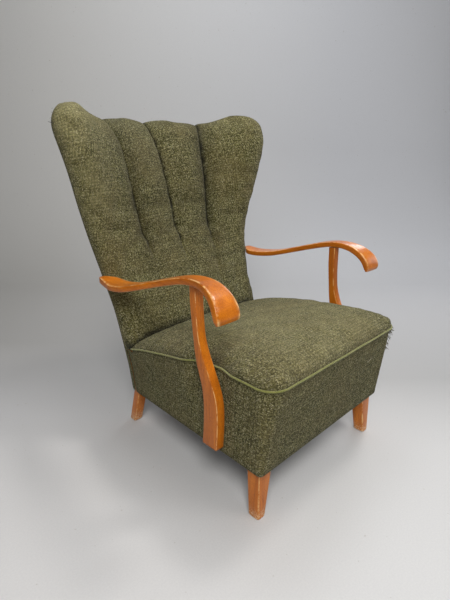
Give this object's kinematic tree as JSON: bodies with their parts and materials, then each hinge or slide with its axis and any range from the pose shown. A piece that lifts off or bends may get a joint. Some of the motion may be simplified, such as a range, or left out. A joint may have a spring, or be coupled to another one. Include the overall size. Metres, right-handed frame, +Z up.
{
  "type": "fireside chair",
  "caption": "Wing-backed fireside armchair with curved show-wood arms, a sprung piped seat on tapered legs and a tall fluted back.",
  "frame": {"origin": "on the floor, under the middle of the chair's bounding box", "axes": "+Z up, the chair faces -Y, +X is its right-hand side as seen from the front"},
  "size_m": [0.7858, 0.8786, 1.0002],
  "materials": {
    "show_wood": "semi-gloss stain and varnish",
    "frame_wood": "bare sawn beech",
    "steel": "plain steel",
    "spring_steel": "dark drawn wire",
    "webbing": "woven jute",
    "cord": "laid hemp cord",
    "canvas": "plain hessian",
    "lining": "black cambric",
    "tweed": "coarse olive wool weave",
    "piping": "yellow-green covered cord",
    "stuffing": "loose fibre"
  },
  "bodies": {
    "root": {"front_leg_left": "show_wood", "front_leg_right": "show_wood", "back_post_left": "show_wood", "back_post_right": "show_wood", "front_rail": "frame_wood", "rear_rail": "frame_wood", "side_rail_left": "frame_wood", "side_rail_right": "frame_wood", "corner_block_front_left": "frame_wood", "corner_block_front_right": "frame_wood", "corner_block_rear_left": "frame_wood", "corner_block_rear_right": "frame_wood", "corner_block_screws": "steel", "rail_dowels": "frame_wood", "back_top_rail": "frame_wood", "back_middle_rail": "frame_wood", "back_bottom_rail": "frame_wood", "back_rail_dowels": "frame_wood", "arm_left": "show_wood", "arm_right": "show_wood", "arm_post_left": "show_wood", "arm_post_right": "show_wood", "arm_dowels": "frame_wood", "arm_screws": "steel", "arm_post_screws": "steel", "seat_straps_across": "webbing", "seat_straps_along": "webbing", "seat_springs": "spring_steel", "spring_lashing": "cord", "spring_canvas": "canvas", "edge_roll_front": "stuffing", "edge_roll_left": "stuffing", "edge_roll_right": "stuffing", "seat_stuffing": "stuffing", "seat_cover": "tweed", "seat_piping": "piping", "front_border": "tweed", "side_border_left": "tweed", "side_border_right": "tweed", "front_wadding": "stuffing", "side_wadding_left": "stuffing", "side_wadding_right": "stuffing", "bottom_cloth": "lining", "bottom_tacks": "steel", "back_straps_across": "webbing", "back_straps_up": "webbing", "back_canvas": "canvas", "back_stuffing": "stuffing", "back_cover": "tweed", "outside_back": "tweed"}
  },
  "joints": []
}
